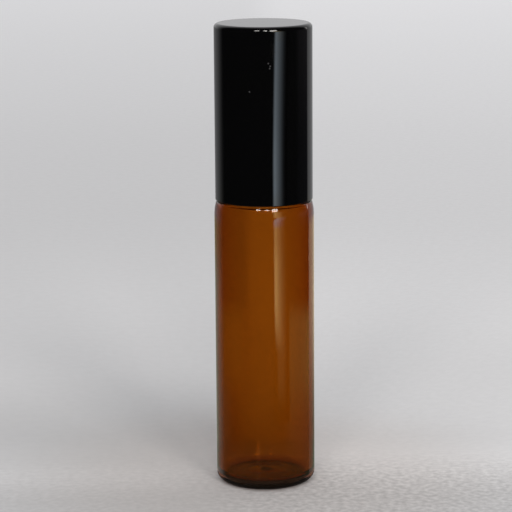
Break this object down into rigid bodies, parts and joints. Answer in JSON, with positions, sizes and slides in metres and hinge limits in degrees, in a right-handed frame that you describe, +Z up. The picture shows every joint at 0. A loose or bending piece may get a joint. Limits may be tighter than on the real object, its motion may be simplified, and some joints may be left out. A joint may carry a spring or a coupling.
{
  "type": "roll on bottle",
  "caption": "Slim amber glass tube bottle with a snap-in steel ball roller, under a tall two-part glossy black screw cap with a flat top.",
  "frame": {"origin": "centre of the base, on the plane that the bottle stands on", "axes": "+Z up along the axis of the bottle and cap; the object is round, so +X is a free choice, and the camera of the picture looks along +Y"},
  "size_m": [0.0184, 0.0184, 0.0861],
  "materials": {
    "amber_glass": "clear amber glass, smooth fire-polished outside and inside",
    "natural_plastic": "uncoloured polyethylene, slightly translucent, satin",
    "ball_steel": "ground and polished stainless steel",
    "liner_plastic": "black polypropylene, satin as moulded",
    "gloss_black_plastic": "black plastic, high gloss"
  },
  "bodies": {
    "bottle": {"glass_bottle": "amber_glass", "roller_housing": "natural_plastic"},
    "ball": {"roller_ball": "ball_steel"},
    "cap": {"cap_liner": "liner_plastic", "cap_shell": "gloss_black_plastic"}
  },
  "joints": [
    {"name": "ball_roll", "type": "hinge", "parent": "bottle", "child": "ball", "pos_m": [0, 0, 0.06822], "axis": [1, 0, 0], "continuous": true},
    {"name": "cap_lift", "type": "slide", "parent": "bottle", "child": "cap", "axis": [0, 0, 1], "range_m": [0, 0.03]}
  ]
}
